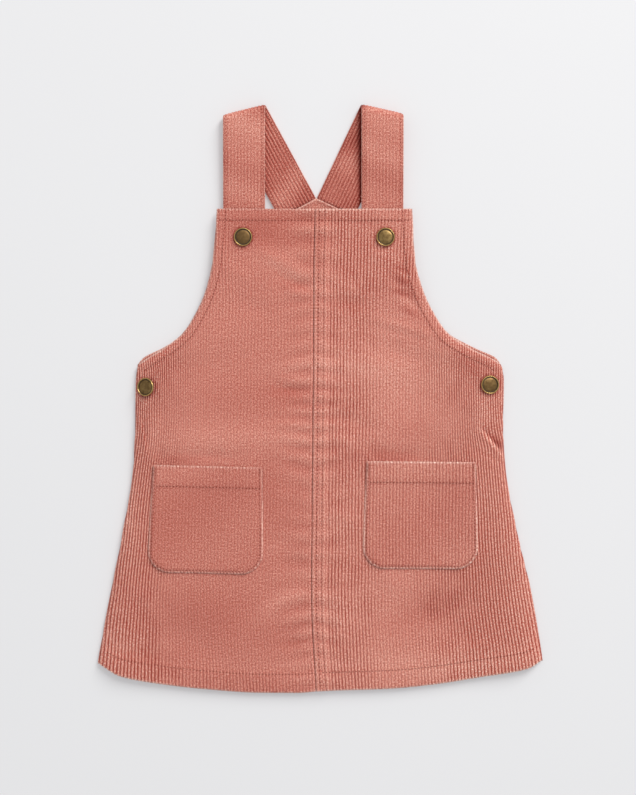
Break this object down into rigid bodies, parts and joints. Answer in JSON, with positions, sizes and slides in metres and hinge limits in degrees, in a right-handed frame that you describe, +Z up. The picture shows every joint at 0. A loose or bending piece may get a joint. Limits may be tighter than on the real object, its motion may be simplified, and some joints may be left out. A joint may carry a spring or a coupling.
{
  "type": "pinafore dress",
  "caption": "Baby's corduroy pinafore dress laid flat, with bib front, folded shoulder straps, patch pockets and snap fasteners at bib and sides.",
  "frame": {"origin": "centre of the bounding box's bottom face, on the surface that the dress lies on", "axes": "+Z up, away from the surface and out of the front of the dress; +Y along the dress, from the hem to the shoulders; +X to the right as seen from above"},
  "size_m": [0.3096, 0.4123, 0.0125],
  "materials": {
    "corduroy": "dusty pink cotton corduroy, soft pile with fine wales",
    "antique_brass": "antique brass, worn brighter on the rims"
  },
  "bodies": {
    "root": {"back": "corduroy", "front_left": "corduroy", "front_right": "corduroy", "pocket_left": "corduroy", "pocket_right": "corduroy", "strap_left": "corduroy", "strap_right": "corduroy", "cap_bib_left": "antique_brass", "cap_bib_right": "antique_brass", "cap_side_left": "antique_brass", "cap_side_right": "antique_brass", "stud_bib_left": "antique_brass", "stud_bib_right": "antique_brass", "stud_side_left": "antique_brass", "stud_side_right": "antique_brass"}
  },
  "joints": []
}
